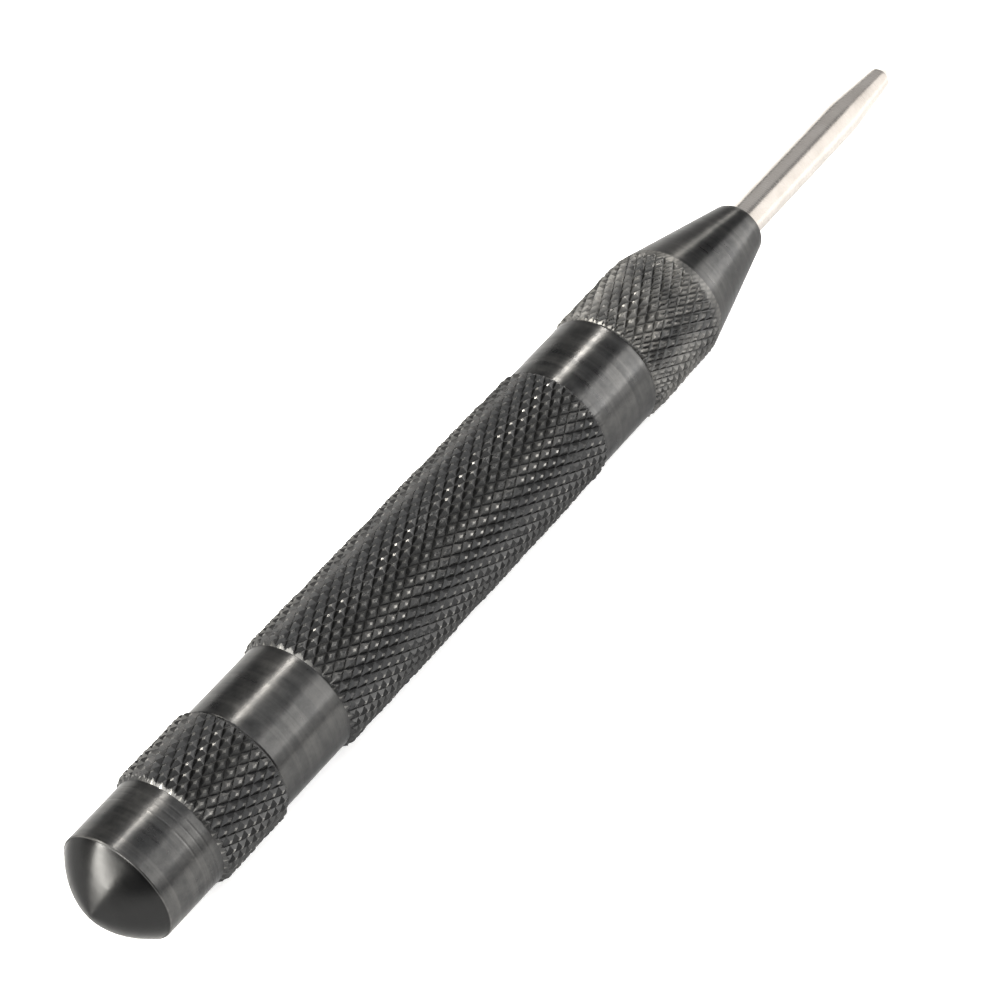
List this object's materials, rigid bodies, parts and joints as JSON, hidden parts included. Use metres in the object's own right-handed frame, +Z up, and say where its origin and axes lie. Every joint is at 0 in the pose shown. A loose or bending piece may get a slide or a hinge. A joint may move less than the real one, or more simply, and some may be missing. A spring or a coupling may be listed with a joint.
{
  "type": "automatic center punch",
  "caption": "Slim spring-loaded center punch with a knurled steel barrel, tapered nose, domed screw cap and a sliding pointed shank.",
  "frame": {"origin": "middle of the tool's length, on the surface that its knurls rest on", "axes": "+X along the tool towards the point, +Z up, away from the surface it lies on"},
  "size_m": [0.13, 0.0128, 0.0128],
  "materials": {
    "black_steel": "satin",
    "point_steel": "satin",
    "inner_steel": "satin",
    "spring_steel": "satin"
  },
  "bodies": {
    "barrel": {"barrel": "black_steel", "nose_cone": "black_steel", "trip_spring": "spring_steel"},
    "punch_point": {"punch_point": "point_steel"},
    "drive_pin": {"drive_pin": "inner_steel"},
    "hammer": {"hammer": "inner_steel"},
    "main_spring": {"main_spring": "spring_steel"},
    "rear_cap": {"rear_cap": "black_steel"}
  },
  "joints": [
    {"name": "point_slide", "type": "slide", "parent": "barrel", "child": "punch_point", "axis": [-1, 0, 0], "range_m": [0, 0.009], "stiffness_N_per_m": 500, "deforming": ["trip_spring"]},
    {"name": "pin_tilt", "type": "hinge", "parent": "punch_point", "child": "drive_pin", "pos_m": [0.02004, 0, 0.00643], "axis": [0, 1, 0], "range_deg": [0, 2]},
    {"name": "hammer_slide", "type": "slide", "parent": "barrel", "child": "hammer", "axis": [-1, 0, 0], "range_m": [0, 0.009], "stiffness_N_per_m": 3000, "deforming": ["main_spring"]},
    {"name": "cap_feed", "type": "slide", "parent": "barrel", "child": "main_spring", "axis": [-1, 0, 0], "range_m": [0, 0.00401]},
    {"name": "cap_turn", "type": "hinge", "parent": "main_spring", "child": "rear_cap", "pos_m": [-0.0456, 0, 0.00643], "axis": [-1, 0, 0], "range_deg": [0, 1440]}
  ],
  "couplings": [
    {"joint": "hammer_slide", "follows": "point_slide", "ratio": 1},
    {"joint": "pin_tilt", "follows": "point_slide", "rad_per_m": 3.8299},
    {"joint": "cap_feed", "follows": "cap_turn", "m_per_rad": 0.00015915}
  ]
}
